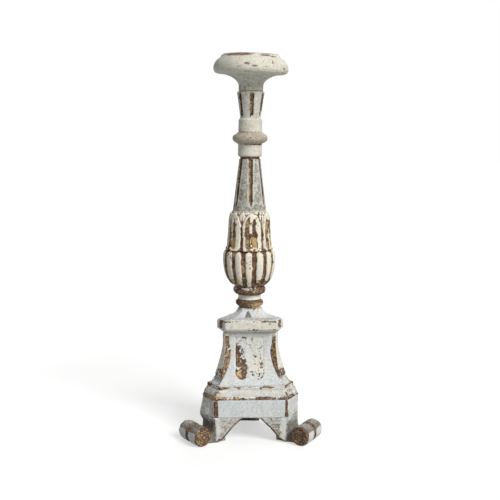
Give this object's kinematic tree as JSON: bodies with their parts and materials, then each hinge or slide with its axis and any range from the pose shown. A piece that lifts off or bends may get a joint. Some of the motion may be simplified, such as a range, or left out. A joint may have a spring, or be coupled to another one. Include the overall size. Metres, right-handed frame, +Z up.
{
  "type": "wooden candlestick",
  "caption": "Tall carved and painted wooden candlestick: a drip pan with a candle socket on a fluted and gadrooned stem, standing on a three-sided base with rolled scroll feet.",
  "frame": {"origin": "point on the stem's axis in the plane of the floor, midway between the three feet", "axes": "+Z up along the stem; one long face of the three-sided base looks along -Y; X runs to the viewer's right along that face"},
  "size_m": [0.1896, 0.1642, 0.4986],
  "materials": {
    "old_paint": "chalky worn paint over red-brown ground and wood",
    "stem_paint": "chalky worn paint with gilt and dark brown left in the flutes",
    "carved_paint": "worn paint with gilt and red-brown ground in the hollows",
    "bole_rings": "worn to the red-brown ground with traces of gilt",
    "bare_ring": "dry tan paint, rubbed",
    "raw_wood": "bare old softwood, darkened",
    "old_tin": "dull tinned sheet",
    "black_iron": "dark forged iron"
  },
  "bodies": {
    "root": {"foot_left": "old_paint", "foot_right": "old_paint", "foot_back": "old_paint", "foot_dowels": "raw_wood", "plinth_board_front": "old_paint", "plinth_board_right": "old_paint", "plinth_board_left": "old_paint", "corner_block_left": "old_paint", "corner_block_right": "old_paint", "corner_block_back": "old_paint", "glue_blocks": "raw_wood", "moulded_board": "old_paint", "pedestal_core": "raw_wood", "core_dowels": "raw_wood", "side_panel_front": "old_paint", "side_panel_right": "old_paint", "side_panel_left": "old_paint", "panel_nails": "black_iron", "corner_stile_left": "carved_paint", "corner_stile_right": "carved_paint", "corner_stile_back": "carved_paint", "cornice": "old_paint", "roof_block": "old_paint", "centre_dowel": "raw_wood", "low_ring": "bole_rings", "stem_neck": "old_paint", "high_ring": "bole_rings", "gadroon_bulb": "carved_paint", "leaf_cup": "carved_paint", "main_stem": "stem_paint", "knop_ring": "bare_ring", "upper_stem": "stem_paint", "drip_pan": "old_paint", "pan_liner": "old_tin", "candle_socket": "old_tin", "liner_tacks": "black_iron"}
  },
  "joints": []
}
